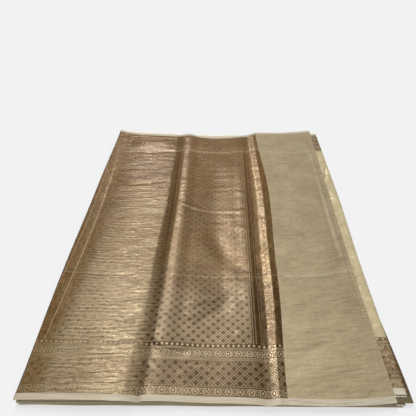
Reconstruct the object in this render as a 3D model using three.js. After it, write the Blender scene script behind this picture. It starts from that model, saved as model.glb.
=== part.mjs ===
import * as THREE from 'three';

// A tissue and zari saree, folded to and fro into eight runs and laid flat, in millimetres.
// X runs along the saree's length, Y across its width from the near selvedge, Z up.
// The box of the whole packet is centred on the origin, and its underside is at z = 0.

const WALL = 1.5;
const GAP = 0.3;
const RUN_PITCH = WALL + GAP;
const UNDER_RUNS = 3;
const NOSE_STEPS = 4;
const RETURN_LENGTH = 14;
const COVERED_LENGTH = 16;
const WIDTH_CELLS = 30;
const RUN_CELLS = 6;
const DROOP_REACH = 26;

// Heights of the middle of each run's wall, from the floor up.
const UNDER_HEIGHT = UNDER_RUNS * RUN_PITCH - GAP;
const SIXTH_LEVEL = UNDER_HEIGHT - WALL / 2;
const FIFTH_LEVEL = SIXTH_LEVEL + RUN_PITCH;
const FOURTH_LEVEL = FIFTH_LEVEL + RUN_PITCH;
const THIRD_LEVEL = FOURTH_LEVEL + RUN_PITCH;
const SECOND_LEVEL = THIRD_LEVEL + RUN_PITCH;
const TOP_LEVEL = SECOND_LEVEL + RUN_PITCH;

// Columns with four values give them near, at 0.3 and 0.63 of the width, and far.
const STATIONS = [0, 0.3, 0.63, 1];

// The top run, one row for each line along the width where its form changes.
// x is the line's place, lift its height over the flat run, and y its near and far ends.
// droop is how far its far end hangs, and steps is the number of cells up to the next row.
const TOP_LINES = [
  { name: 'left fold', x: [1, -3, 1, 7], lift: [4.6, 3.8, 3.4, 3.0], y: [-6, 1121] },
  { name: 'left shoulder', x: [30, 26, 29, 34], lift: [7.4, 5.4, 4.6, 3.2], y: [-6, 1106], droop: 1 },
  { name: 'outer crest', x: [104, 99, 103, 108], lift: [9.4, 6.6, 5.6, 2.4], y: [-6, 1082], droop: 4 },
  { name: 'outer shoulder', x: [190, 194, 198, 202], lift: [8.4, 7.2, 6.2, 3.0], y: [-6, 1074], droop: 5 },
  { name: 'outer slope', x: [232, 237, 242, 245], lift: [4.4, 4.4, 4.4, 3.4], y: [-5, 1079], droop: 3 },
  { name: 'outer crease', x: [256, 262, 268, 270], lift: [0, 0, 0, 0.6], y: [-5, 1084], sharp: true },
  { name: 'inner ridge', x: [274, 283, 290, 292], lift: [3.6, 4.8, 5.0, 4.4], y: [-3, 1083], droop: 1 },
  { name: 'inner hollow', x: [330, 332, 334, 336], lift: [4.4, 4.2, 3.8, 2.4], y: [-2, 1072], droop: 4 },
  { name: 'inner middle', x: [398, 400, 402, 404], lift: [4.8, 4.8, 4.2, 1.8], y: [-3, 1065], droop: 6 },
  { name: 'inner crest', x: [456, 460, 463, 465], lift: [3.6, 6.2, 5.4, 2.2], y: [-3, 1068], droop: 5 },
  { name: 'inner slope', x: [498, 501, 505, 506], lift: [1.8, 3.8, 3.8, 2.6], y: [-4, 1075], droop: 2 },
  { name: 'inner crease', x: [523, 525, 529, 530], lift: [0, 0, 0.2, 0.8], y: [-6, 1079], sharp: true },
  { name: 'end ridge', x: [540, 544, 550, 546], lift: [1.8, 3.4, 4.0, 4.2], y: [-4, 1090] },
  { name: 'pallu end', x: [565, 578, 588, 568], lift: [1.2, 2.2, 2.6, 3.4], y: [-3, 1099], steps: 3 },
  { name: 'plain hollow', x: [650, 654, 658, 662], lift: [0.6, 1.4, 1.6, 1.8], y: [-4, 1103], droop: 1 },
  { name: 'plain rise', x: [718, 718, 721, 726], lift: [0.8, 1.8, 1.2, 1.6], y: [-1, 1110], droop: 1 },
  { name: 'right end', x: [786, 784, 788, 793], lift: [0.6, 0.6, 0.6, 1.6], y: [6, 1121], steps: 1 },
].map((line) => ({ droop: 0, steps: 2, sharp: false, ...line }));

// Low waves that cross the top run: centre and half reach in x, spacing and rise, and the
// share of a wave by which they start and lean.
const CROSS_WAVES = [
  { name: 'outer waves', x: 120, reach: 125, spacing: 148, rise: 0.8, start: 0.15, lean: 0.3 },
  { name: 'outer long wave', x: 150, reach: 110, spacing: 395, rise: 1.0, start: 0.6, lean: -0.1 },
  { name: 'inner waves', x: 395, reach: 115, spacing: 230, rise: 0.7, start: 0.35, lean: 0.5 },
  { name: 'plain waves', x: 680, reach: 90, spacing: 310, rise: 0.4, start: 0.1, lean: -0.4 },
];

// The folds under the top run: outermost x of a nose, and near and far ends of its runs at
// the left and the right, the far ones counted back from the top run's own edge.
const SECOND_NOSE = { x: [812, 811, 818, 817], lift: [1.2, 0.9, 1.2, 0.8] };
const LOWER_NOSE = { x: [822, 809, 806, 808], lift: [0, 0, 0, 0] };
const LEFT_NOSE = { x: [5, 1, 4, 9] };
const RUN_ENDS = {
  second: { nearLeft: -4, nearRight: 24, backLeft: 32, backRight: 20 },
  third: { nearLeft: -6, nearRight: 20, backLeft: 34, backRight: 24 },
  fourth: { nearLeft: -8, nearRight: 9, backLeft: 30, backRight: 30 },
  fifth: { nearLeft: -7, nearRight: 11, backLeft: 33, backRight: 27 },
  sixth: { nearLeft: -7, nearRight: 9, backLeft: 36, backRight: 33 },
};

// The hidden runs at the bottom share one solid, with a row for the rim of each.
const UNDER_RIMS = [
  { name: 'eighth run', left: 9, right: 801, nearLeft: -9, nearRight: 3, back: 30 },
  { name: 'seventh run', left: 6, right: 806, nearLeft: -7, nearRight: 6, back: 38 },
  { name: 'sixth run', left: 24, right: 803, nearLeft: -8, nearRight: 5, back: 33 },
];
const RIM_ROUNDING = [
  { share: 0, inset: 0.6 },
  { share: 0.5, inset: 0 },
  { share: 1, inset: 0.6 },
];
const RIM_CORNER = 6;
const RIM_CORNER_STEPS = 3;
const RIM_SIDE_CELLS = 4;
const RIM_FAR_CELLS = 14;

const ZARI = { color: 0x8a6c48, roughness: 0.42, metalness: 0.55 };
const TISSUE = { color: 0xa8996f, roughness: 0.5, metalness: 0.35 };
const LOWER_TISSUE = { color: 0xbcae84, roughness: 0.5, metalness: 0.35 };
const UNDER_CLOTH = { color: 0x8f7f58, roughness: 0.6, metalness: 0.25 };

const { lerp, clamp, smoothstep } = THREE.MathUtils;

function atStations(values, t) {
  const i = t < STATIONS[1] ? 0 : t < STATIONS[2] ? 1 : 2;
  return lerp(values[i], values[i + 1], smoothstep(t, STATIONS[i], STATIONS[i + 1]));
}

// A crease is steep on the side of its own line, and other lines are passed level.
function easeBetween(share, from, to) {
  if (from.sharp) return 1 - (1 - share) ** 2;
  if (to.sharp) return share ** 2;
  return smoothstep(share, 0, 1);
}

function crossWave(x, y) {
  let rise = 0;
  for (const wave of CROSS_WAVES) {
    const off = clamp((x - wave.x) / wave.reach, -1, 1);
    const turns = y / wave.spacing + wave.start + wave.lean * off;
    rise += wave.rise * Math.cos(off * Math.PI / 2) ** 2 * (1 + Math.sin(2 * Math.PI * turns));
  }
  return rise / 2;
}

// A point of the top run's middle surface, a share of the way from one line to the next.
function topPoint(index, share, t) {
  const from = TOP_LINES[index];
  const to = TOP_LINES[Math.min(index + 1, TOP_LINES.length - 1)];
  const ease = easeBetween(share, from, to);
  const x = lerp(atStations(from.x, t), atStations(to.x, t), share);
  const far = lerp(from.y[1], to.y[1], share);
  const y = lerp(lerp(from.y[0], to.y[0], share), far, t);
  const lift = lerp(atStations(from.lift, t), atStations(to.lift, t), ease);
  const droop = lerp(from.droop, to.droop, ease) * smoothstep(y, far - DROOP_REACH, far);
  return new THREE.Vector3(x, y, TOP_LEVEL + lift - droop + crossWave(x, y));
}

// The far end of the top run at a place along its length.
function topFarAt(x) {
  const last = TOP_LINES.length - 1;
  for (let i = 0; i < last; i += 1) {
    const right = TOP_LINES[i + 1].x[3];
    if (x < right) {
      const left = TOP_LINES[i].x[3];
      const share = clamp((x - left) / (right - left), 0, 1);
      return lerp(TOP_LINES[i].y[1], TOP_LINES[i + 1].y[1], share);
    }
  }
  return TOP_LINES[last].y[1];
}

function runPoint(x, z, ends, t) {
  const share = clamp(x / TOP_LINES[TOP_LINES.length - 1].x[0], 0, 1);
  const near = lerp(ends.nearLeft, ends.nearRight, share);
  const far = topFarAt(x) - lerp(ends.backLeft, ends.backRight, share);
  return new THREE.Vector3(x, lerp(near, far, t), z);
}

// The half round of a fold, from its lower run to its upper run. side is -1 on the left.
function noseArc(outermost, lower, upper, side, from, to, t) {
  const radius = (upper - lower) / 2;
  const centre = outermost - side * (radius + WALL / 2);
  const points = [];
  for (let i = 0; i <= NOSE_STEPS; i += 1) {
    const angle = Math.PI * (i / NOSE_STEPS - 0.5);
    const x = centre + side * radius * Math.cos(angle);
    const z = (lower + upper) / 2 + radius * Math.sin(angle);
    const low = runPoint(x, z, from, t);
    const high = runPoint(x, z, to, t);
    points.push(low.lerp(high, i / NOSE_STEPS));
  }
  return points;
}

function flatRun(start, end, z, ends, t) {
  const points = [];
  for (let i = 0; i <= RUN_CELLS; i += 1) {
    points.push(runPoint(lerp(start, end, i / RUN_CELLS), z, ends, t));
  }
  return points;
}

// Normals of a grid of middle points, which a wall's two faces stand off along.
function gridNormals(rows) {
  return rows.map((row, j) => row.map((point, i) => {
    const along = row[Math.min(i + 1, row.length - 1)].clone().sub(row[Math.max(i - 1, 0)]);
    const beyond = rows[Math.min(j + 1, rows.length - 1)][i];
    const across = beyond.clone().sub(rows[Math.max(j - 1, 0)][i]);
    return along.cross(across).normalize();
  }));
}

// A closed wall through rows of middle points. At a seam its end face stays upright.
function wallGeometry(section, seamStart = false, seamEnd = false) {
  const rows = [];
  for (let j = 0; j <= WIDTH_CELLS; j += 1) {
    rows.push(section(j / WIDTH_CELLS));
  }
  const normals = gridNormals(rows);
  const columns = rows[0].length;
  const positions = [];
  for (const side of [1, -1]) {
    rows.forEach((row, j) => row.forEach((point, i) => {
      const normal = normals[j][i];
      const upright = (seamStart && i === 0) || (seamEnd && i === columns - 1);
      const away = upright ? new THREE.Vector3(0, 0, 1 / normal.z) : normal;
      const corner = point.clone().addScaledVector(away, side * WALL / 2);
      positions.push(corner.x, corner.y, corner.z);
    }));
  }
  const back = rows.length * columns;
  const index = [];
  const quad = (a, b, c, d) => index.push(a, b, c, a, c, d);
  for (let j = 0; j < WIDTH_CELLS; j += 1) {
    for (let i = 0; i < columns - 1; i += 1) {
      const a = j * columns + i;
      quad(a, a + 1, a + columns + 1, a + columns);
      quad(back + a, back + a + columns, back + a + columns + 1, back + a + 1);
    }
  }
  for (let i = 0; i < columns - 1; i += 1) {
    const far = WIDTH_CELLS * columns + i;
    quad(back + i, back + i + 1, i + 1, i);
    quad(far, far + 1, back + far + 1, back + far);
  }
  for (let j = 0; j < WIDTH_CELLS; j += 1) {
    const a = j * columns;
    const b = a + columns - 1;
    quad(a, a + columns, back + a + columns, back + a);
    quad(b, back + b, back + b + columns, b + columns);
  }
  const geometry = new THREE.BufferGeometry();
  geometry.setAttribute('position', new THREE.Float32BufferAttribute(positions, 3));
  geometry.setIndex(index);
  return geometry;
}

function piece(name, geometry, finish) {
  geometry.computeVertexNormals();
  const mesh = new THREE.Mesh(geometry, new THREE.MeshStandardMaterial(finish));
  mesh.name = name;
  return mesh;
}

const lineIndex = (name) => TOP_LINES.findIndex((line) => line.name === name);

// The stretch of the top run between two named lines, half a seam short of each.
function topStretch(first, last, t) {
  const points = [];
  const from = lineIndex(first);
  const to = lineIndex(last);
  for (let i = from; i < to; i += 1) {
    for (let k = 0; k < TOP_LINES[i].steps; k += 1) {
      points.push(topPoint(i, k / TOP_LINES[i].steps, t));
    }
  }
  points.push(topPoint(to, 0, t));
  if (from > 0) points[0].x += GAP / 2;
  if (to < TOP_LINES.length - 1) points[points.length - 1].x -= GAP / 2;
  return points;
}

// Where the left fold's half round ends, on the lines of the panel and of the second run.
function leftFoldCentre(t) {
  const shoulder = topPoint(0, 0, t);
  const radius = (shoulder.z - SECOND_LEVEL) / 2;
  return { x: shoulder.x + radius + WALL / 2, y: shoulder.y, z: SECOND_LEVEL + radius, radius };
}

// The outer panel of the pallu rolls over the left fold into the start of the second run.
function outerPanel(t) {
  const centre = leftFoldCentre(t);
  const points = [runPoint(centre.x + RETURN_LENGTH, SECOND_LEVEL, RUN_ENDS.second, t)];
  for (let i = 0; i <= NOSE_STEPS; i += 1) {
    const angle = Math.PI * (i / NOSE_STEPS - 0.5);
    const x = centre.x - centre.radius * Math.cos(angle);
    const z = centre.z + centre.radius * Math.sin(angle);
    const low = runPoint(centre.x, z, RUN_ENDS.second, t);
    points.push(new THREE.Vector3(x, lerp(low.y, centre.y, i / NOSE_STEPS), z));
  }
  return points.concat(topStretch('left fold', 'outer crease', t).slice(1));
}

// The second and third runs, joined by the fold that shows past the top run's right end.
function secondFold(t) {
  const edge = atStations(SECOND_NOSE.x, t);
  const upper = SECOND_LEVEL + atStations(SECOND_NOSE.lift, t);
  const inner = edge - (upper - THIRD_LEVEL) / 2 - WALL / 2;
  const thirdStart = atStations(LEFT_NOSE.x, t) + RETURN_LENGTH + GAP;
  const secondStart = leftFoldCentre(t).x + RETURN_LENGTH + GAP;
  const covered = atStations(TOP_LINES[TOP_LINES.length - 1].x, t) - COVERED_LENGTH;
  const third = flatRun(thirdStart, inner, THIRD_LEVEL, RUN_ENDS.third, t);
  const nose = noseArc(edge, THIRD_LEVEL, upper, 1, RUN_ENDS.third, RUN_ENDS.second, t);
  const second = flatRun(covered, secondStart, SECOND_LEVEL, RUN_ENDS.second, t);
  return third.slice(0, -1).concat(nose, second);
}

// The fourth and fifth runs, with a fold at each end of both.
function lowerFold(t) {
  const left = atStations(LEFT_NOSE.x, t);
  const right = atStations(LOWER_NOSE.x, t);
  const start = left + RETURN_LENGTH;
  const inner = left + WALL / 2 + RUN_PITCH / 2;
  const outer = right - WALL / 2 - RUN_PITCH / 2;
  const { third, fourth, fifth, sixth } = RUN_ENDS;
  return [
    runPoint(start, SIXTH_LEVEL, sixth, t),
    ...noseArc(left, SIXTH_LEVEL, FIFTH_LEVEL, -1, sixth, fifth, t),
    ...flatRun(inner, outer, FIFTH_LEVEL, fifth, t).slice(1, -1),
    ...noseArc(right, FIFTH_LEVEL, FOURTH_LEVEL, 1, fifth, fourth, t),
    ...flatRun(outer, inner, FOURTH_LEVEL, fourth, t).slice(1, -1),
    ...noseArc(left, FOURTH_LEVEL, THIRD_LEVEL, -1, fourth, third, t),
    runPoint(start, THIRD_LEVEL, third, t),
  ];
}

// One level of a hidden run's rim, with round corners and its sides in short steps.
function rimOutline(rim, inset) {
  const left = rim.left + inset + RIM_CORNER;
  const right = rim.right - inset - RIM_CORNER;
  const topLength = TOP_LINES[TOP_LINES.length - 1].x[0];
  const near = (x) => lerp(rim.nearLeft, rim.nearRight, x / topLength) + inset;
  const far = (x) => topFarAt(x) - rim.back - inset;
  const points = [];
  const corner = (x, y, from) => {
    for (let i = 1; i < RIM_CORNER_STEPS; i += 1) {
      const angle = from + (Math.PI / 2) * (i / RIM_CORNER_STEPS);
      points.push(new THREE.Vector2(x + RIM_CORNER * Math.cos(angle), y + RIM_CORNER * Math.sin(angle)));
    }
  };
  const side = (x, start, end) => {
    for (let i = 0; i <= RIM_SIDE_CELLS; i += 1) {
      points.push(new THREE.Vector2(x, lerp(start, end, i / RIM_SIDE_CELLS)));
    }
  };
  for (let i = 0; i <= RIM_SIDE_CELLS; i += 1) {
    const x = lerp(left, right, i / RIM_SIDE_CELLS);
    points.push(new THREE.Vector2(x, near(x)));
  }
  corner(right, near(right) + RIM_CORNER, -Math.PI / 2);
  side(right + RIM_CORNER, near(right) + RIM_CORNER, far(right) - RIM_CORNER);
  corner(right, far(right) - RIM_CORNER, 0);
  for (let i = 0; i <= RIM_FAR_CELLS; i += 1) {
    const x = lerp(right, left, i / RIM_FAR_CELLS);
    points.push(new THREE.Vector2(x, far(x)));
  }
  corner(left, far(left) - RIM_CORNER, Math.PI / 2);
  side(left - RIM_CORNER, far(left) - RIM_CORNER, near(left) + RIM_CORNER);
  corner(left, near(left) + RIM_CORNER, Math.PI);
  return points;
}

// The hidden runs as one solid of stacked rims, flat above and below.
function underGeometry() {
  const rings = [];
  UNDER_RIMS.forEach((rim, level) => {
    const floor = level * RUN_PITCH;
    for (const { share, inset } of RIM_ROUNDING) {
      const z = share === 0 && level > 0 ? floor - GAP : floor + share * WALL;
      rings.push({ z, outline: rimOutline(rim, inset) });
    }
  });
  const count = rings[0].outline.length;
  const positions = rings.flatMap(({ z, outline }) => outline.flatMap(({ x, y }) => [x, y, z]));
  const index = [];
  for (let k = 0; k < rings.length - 1; k += 1) {
    for (let i = 0; i < count; i += 1) {
      const a = k * count + i;
      const b = k * count + (i + 1) % count;
      index.push(a, b, b + count, a, b + count, a + count);
    }
  }
  const top = (rings.length - 1) * count;
  for (const [a, b, c] of THREE.ShapeUtils.triangulateShape(rings[0].outline, [])) {
    index.push(c, b, a);
  }
  for (const [a, b, c] of THREE.ShapeUtils.triangulateShape(rings[rings.length - 1].outline, [])) {
    index.push(top + a, top + b, top + c);
  }
  const geometry = new THREE.BufferGeometry();
  geometry.setAttribute('position', new THREE.Float32BufferAttribute(positions, 3));
  geometry.setIndex(index);
  return geometry;
}

const innerPanel = (t) => topStretch('outer crease', 'inner crease', t);
const endBand = (t) => topStretch('inner crease', 'pallu end', t);
const plainPanel = (t) => topStretch('pallu end', 'right end', t);

const saree = new THREE.Group();
saree.name = 'folded_saree';
saree.add(
  piece('pallu_outer_panel', wallGeometry(outerPanel, false, true), ZARI),
  piece('pallu_inner_panel', wallGeometry(innerPanel, true, true), ZARI),
  piece('pallu_end_band', wallGeometry(endBand, true, true), ZARI),
  piece('plain_end_panel', wallGeometry(plainPanel, true, false), TISSUE),
  piece('second_fold', wallGeometry(secondFold), LOWER_TISSUE),
  piece('lower_fold', wallGeometry(lowerFold), LOWER_TISSUE),
  piece('folded_under_layers', underGeometry(), UNDER_CLOTH),
);

// Centre the packet's box over the origin, with its underside left at z = 0.
const box = new THREE.Box3().setFromObject(saree);
const centre = box.getCenter(new THREE.Vector3());
saree.position.set(-centre.x, -centre.y, -box.min.z);
saree.updateMatrixWorld(true);

export default saree;
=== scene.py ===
import math
from collections import namedtuple

import bmesh
import bpy
from mathutils import Matrix, Vector, noise


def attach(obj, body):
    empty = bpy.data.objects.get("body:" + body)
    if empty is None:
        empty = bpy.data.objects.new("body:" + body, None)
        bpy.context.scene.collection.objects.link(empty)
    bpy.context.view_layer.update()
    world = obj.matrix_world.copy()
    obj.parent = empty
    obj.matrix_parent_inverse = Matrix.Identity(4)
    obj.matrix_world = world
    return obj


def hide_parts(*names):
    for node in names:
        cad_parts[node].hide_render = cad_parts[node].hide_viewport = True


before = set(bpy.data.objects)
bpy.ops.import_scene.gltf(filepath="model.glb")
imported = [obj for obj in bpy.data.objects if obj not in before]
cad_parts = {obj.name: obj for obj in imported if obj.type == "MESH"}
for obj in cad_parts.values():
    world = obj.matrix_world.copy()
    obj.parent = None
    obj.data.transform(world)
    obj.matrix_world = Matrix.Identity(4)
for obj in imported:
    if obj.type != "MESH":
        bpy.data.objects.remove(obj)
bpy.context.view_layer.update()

# The ground, the light and the camera. The packet lies on a seamless pale ground, lit by one
# broad soft light low beyond its far selvedge and a little to the left, with an even fill.
WHITE = (1.0, 1.0, 1.0, 1.0)
GROUND_REACH = 14.0
GROUND_CELLS = 8
GROUND_COLOR = (0.22, 0.22, 0.22, 1.0)
GROUND_ROUGHNESS = 0.9
GROUND_GLOW = 0.66
KEY_SIDE = -0.165
KEY_HEIGHTS = range(39, 76, 5)
KEY_SPREAD = math.radians(8)
KEY_STRENGTH = 0.36
FILL_STRENGTH = 0.30
CAMERA_PLACE = Vector((0.0068, -0.9267, 0.8422))
CAMERA_YAW = math.radians(-1.79)
CAMERA_PITCH = math.radians(40.03)
CAMERA_ROLL = math.radians(-0.5)
PHOTO_WIDTH = 416
FOCAL_PIXELS = 400
SENSOR_WIDTH = 36.0
VIEW_REACH = 100.0


def looking_along(yaw, pitch, roll):
    """The turn of a camera that looks along yaw and down by pitch, as columns of a matrix."""
    ahead = Vector((
        math.sin(yaw) * math.cos(pitch),
        math.cos(yaw) * math.cos(pitch),
        -math.sin(pitch),
    ))
    level = Vector((math.cos(yaw), -math.sin(yaw), 0.0))
    upright = level.cross(ahead)
    right = level * math.cos(roll) + upright * math.sin(roll)
    up = upright * math.cos(roll) - level * math.sin(roll)
    return Matrix((right, up, -ahead)).transposed()


camera_data = bpy.data.cameras.new("camera")
camera_data.sensor_width = SENSOR_WIDTH
camera_data.lens = SENSOR_WIDTH * FOCAL_PIXELS / PHOTO_WIDTH
camera_data.clip_end = VIEW_REACH
camera = bpy.data.objects.new("camera", camera_data)
camera_turn = looking_along(CAMERA_YAW, CAMERA_PITCH, CAMERA_ROLL)
camera.matrix_world = Matrix.Translation(CAMERA_PLACE) @ camera_turn.to_4x4()
bpy.context.scene.collection.objects.link(camera)
bpy.context.scene.camera = camera
bpy.context.scene.view_settings.view_transform = "Standard"

reach = math.sqrt(1 - KEY_SIDE ** 2)
for height in KEY_HEIGHTS:
    key_data = bpy.data.lights.new("key_light", "SUN")
    key_data.energy = KEY_STRENGTH
    key_data.angle = KEY_SPREAD
    key_light = bpy.data.objects.new("key_light", key_data)
    along = reach * math.cos(math.radians(height))
    up = reach * math.sin(math.radians(height))
    towards_key = Vector((KEY_SIDE, along, up))
    key_light.rotation_euler = towards_key.to_track_quat("Z", "Y").to_euler()
    bpy.context.scene.collection.objects.link(key_light)

studio = bpy.data.worlds.new("studio")
studio.use_nodes = True
fill = studio.node_tree.nodes["Background"]
fill.inputs["Color"].default_value = WHITE
fill.inputs["Strength"].default_value = FILL_STRENGTH
bpy.context.scene.world = studio

ground_mesh = bpy.data.meshes.new("ground")
ground_form = bmesh.new()
bmesh.ops.create_grid(
    ground_form,
    x_segments=GROUND_CELLS,
    y_segments=GROUND_CELLS,
    size=GROUND_REACH,
)
ground_form.to_mesh(ground_mesh)
ground_form.free()
ground = bpy.data.objects.new("ground", ground_mesh)
bpy.context.scene.collection.objects.link(ground)
ground_finish = bpy.data.materials.new("pale_ground")
ground_finish.use_nodes = True
ground_shader = ground_finish.node_tree.nodes["Principled BSDF"]
ground_look = {
    "Base Color": GROUND_COLOR,
    "Roughness": GROUND_ROUGHNESS,
    "Specular IOR Level": 0.0,
    "Emission Color": WHITE,
    "Emission Strength": GROUND_GLOW,
}
for socket, amount in ground_look.items():
    ground_shader.inputs[socket].default_value = amount
ground_mesh.materials.append(ground_finish)

# The three hidden runs at the bottom. They are plain stretches of the same tissue, folded to
# and fro under the rest, and only their cream selvedges and folds show, round the packet.
# Places are in millimetres: x along a run from the left, y back from the near selvedge, z up.
# u runs along the cloth's length and v across it, and t is a share of its width.
MM = 0.001
PACKET_CENTRE = Vector((409.5, 556.115, 0.0))
CLOTH_WIDTH = 1130.0
CLOTH_THICKNESS = 0.6
LOOSE_THICKNESS = 1.0
RUN_PITCH = 1.8
EIGHTH_LEVEL = 0.75
SEVENTH_LEVEL = EIGHTH_LEVEL + RUN_PITCH
SIXTH_LEVEL = SEVENTH_LEVEL + RUN_PITCH
STATIONS = (0.0, 0.3, 0.63, 1.0)
SELVEDGE = 14.0

# One row for each line along the width where the top run's form changes, as in the solids.
# x is its place near, at two stations between, and far; lift is its height over the flat run;
# ends are its near and far ends, and droop is how far its far edge sags. A sharp line is a
# pressed one, and cells is the number of mesh cells to the next line.
Line = namedtuple("Line", "name x lift ends droop sharp cells")
TOP_LINES = (
    Line("left fold", (1, -3, 1, 7), (2.0, 0.8, 0.4, 0.6), (-6, 1121), 0, False, 8),
    Line("left shoulder", (30, 26, 29, 34), (5.0, 2.8, 2.0, 2.0), (-6, 1106), 0.5, False, 20),
    Line("outer crest", (104, 99, 103, 108), (8.0, 6.4, 5.2, 3.8), (-6, 1082), 1, False, 14),
    Line("outer middle", (156, 158, 164, 168), (9.2, 7.4, 6.6, 4.8), (-6, 1078), 1, False, 12),
    Line("outer shoulder", (219, 236, 250, 252), (8.6, 7.6, 7, 5), (-6, 1074), 1, False, 8),
    Line("outer slope", (243, 256, 266, 267), (4.8, 4.4, 4.0, 3.0), (-5, 1079), 1, False, 8),
    Line("outer crease", (257, 266, 273, 274), (0, 0, 0, 0.6), (-5, 1084), 0, True, 6),
    Line("inner foot", (265, 281, 289, 289), (3.8, 4.6, 5.2, 4.4), (-4, 1084), 0, False, 8),
    Line("inner ridge", (277, 298, 304, 303), (4.6, 5.5, 6.1, 5.1), (-3, 1083), 1, False, 12),
    Line("inner hollow", (335, 340, 342, 340), (1.9, 2.7, 2.8, 2.4), (-2, 1072), 2, False, 18),
    Line("inner middle", (398, 425, 398, 404), (0.8, 0.6, 0.4, 1.4), (-3, 1065), 3, False, 18),
    Line("inner crest", (462, 470, 466, 470), (1.6, 4.0, 4.9, 2.6), (-3, 1068), 2, False, 10),
    Line("inner slope", (500, 506, 505, 506), (1.6, 7.2, 8.8, 3.6), (-4, 1075), 2, False, 8),
    Line("inner crease", (523, 525, 529, 528), (0, 0.2, 0.3, 0.8), (-6, 1079), 0, True, 7),
    Line("end foot", (534, 540, 545, 535), (0.2, 0.5, 0.7, 1.1), (-5, 1084), 0, True, 10),
    Line("end ridge", (549, 562, 567, 555), (3.1, 4.7, 4.9, 4.6), (-4, 1090), 0, True, 8),
    Line("pallu end", (565, 578, 588, 568), (1.2, 2.0, 2.4, 3.2), (-3, 1099), 0, False, 20),
    Line("plain hollow", (650, 654, 658, 662), (0.6, 1.4, 1.6, 1.8), (-4, 1103), 1, False, 18),
    Line("plain rise", (718, 718, 721, 726), (0.8, 1.8, 1.2, 1.6), (-1, 1110), 1, False, 20),
    Line("right end", (786, 784, 788, 793), (0.6, 0.6, 0.6, 1.6), (6, 1121), 0, False, 0),
)

# Each run's near ends at the left and right, and how far its far ones lie behind the top's.
RunEnds = namedtuple("RunEnds", "near_left near_right back_left back_right")
EIGHTH_ENDS = RunEnds(-9, 3, 30, 30)
SEVENTH_ENDS = RunEnds(-7, 6, 38, 38)
SIXTH_ENDS = RunEnds(-8, 5, 33, 33)
UNDER_CELLS = 48
UNDER_ROWS = 120
UNDER_RISE = 0.25
EDGE_STRAY = 1.2
STRAY_SCALE = (0.011, 0.004)
RISE_SCALE = (0.006, 0.017)
RISE_SEED = 7.3
UNDER_RUNS = (
    (EIGHTH_LEVEL, 9, 801, EIGHTH_ENDS),
    (SEVENTH_LEVEL, 6, 806, SEVENTH_ENDS),
    (SIXTH_LEVEL, 24, 803, SIXTH_ENDS),
)


def mix(first, second, share):
    return first + (second - first) * share


def clamped(value, low=0.0, high=1.0):
    return max(low, min(high, value))


def smooth(value, low=0.0, high=1.0):
    share = clamped((value - low) / (high - low))
    return share * share * (3 - 2 * share)


def at_stations(values, t):
    i = 0 if t < STATIONS[1] else 1 if t < STATIONS[2] else 2
    return mix(values[i], values[i + 1], smooth(t, STATIONS[i], STATIONS[i + 1]))


def top_far_at(x):
    """The far end of the top run at a place along its length."""
    for left, right in zip(TOP_LINES, TOP_LINES[1:]):
        if x < right.x[3]:
            share = clamped((x - left.x[3]) / (right.x[3] - left.x[3]))
            return mix(left.ends[1], right.ends[1], share)
    return TOP_LINES[-1].ends[1]


def run_point(x, z, ends, t):
    share = clamped(x / TOP_LINES[-1].x[0])
    near = mix(ends.near_left, ends.near_right, share)
    far = top_far_at(x) - mix(ends.back_left, ends.back_right, share)
    return Vector((x, mix(near, far, t), z))


def flat_run(start, end, level, ends, t, cells):
    return [run_point(mix(start, end, i / cells), level, ends, t) for i in range(cells + 1)]


def uneven(point, seed, rise):
    """A run's own slow unevenness, in its height and in the line of its edges."""
    stray_place = Vector((point.x * STRAY_SCALE[0], point.y * STRAY_SCALE[1], seed))
    rise_place = Vector((point.x * RISE_SCALE[0], point.y * RISE_SCALE[1], seed + RISE_SEED))
    lean = noise.noise(stray_place)
    wave = noise.noise(rise_place)
    return point + Vector((0.0, EDGE_STRAY * lean, rise * wave))


def spaced(path):
    """The points of a path with the length of cloth run from its start to each."""
    length = 0.0
    row = [(path[0], 0.0)]
    for before, after in zip(path, path[1:]):
        length += (after - before).length
        row.append((after, length))
    return row


def woven_sheets(name, sections, rows, thickness=CLOTH_THICKNESS):
    """Cloth with one stretch for each section, which gives a row of points and their u."""
    mesh = bpy.data.meshes.new(name)
    for section in sections:
        form = bmesh.new()
        cloth_map = form.loops.layers.uv.new("cloth")
        # The pressed lines' painted sheen, kept on each vertex.
        pressed = form.verts.layers.float.new("pressed")
        columns = len(section(0.0)) - 1
        bmesh.ops.create_grid(form, x_segments=columns, y_segments=rows, size=0.5)
        lines = [section(j / rows) for j in range(rows + 1)]
        places = {}
        for vertex in form.verts:
            i = round((vertex.co.x + 0.5) * columns)
            j = round((vertex.co.y + 0.5) * rows)
            point, u, *sheen = lines[j][i]
            vertex[pressed] = sum(sheen)
            places[vertex] = (u * MM, CLOTH_WIDTH * MM * j / rows)
            vertex.co = (point - PACKET_CENTRE) * MM
        for face in form.faces:
            face.smooth = True
            for corner in face.loops:
                corner[cloth_map].uv = places[corner.vert]
        for edge in form.edges:
            edge.smooth = not edge.is_boundary
        form.from_mesh(mesh)
        bmesh.ops.recalc_face_normals(form, faces=form.faces)
        form.to_mesh(mesh)
        form.free()
    cloth = bpy.data.objects.new(name, mesh)
    bpy.context.scene.collection.objects.link(cloth)
    wall = cloth.modifiers.new("wall", "SOLIDIFY")
    wall.thickness = thickness * MM
    wall.offset = 0.0
    return cloth


def under_section(level, left, right, ends, seed):
    def section(t):
        path = flat_run(left, right, level, ends, t, UNDER_CELLS)
        return spaced([uneven(point, seed, UNDER_RISE) for point in path])
    return section


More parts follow.
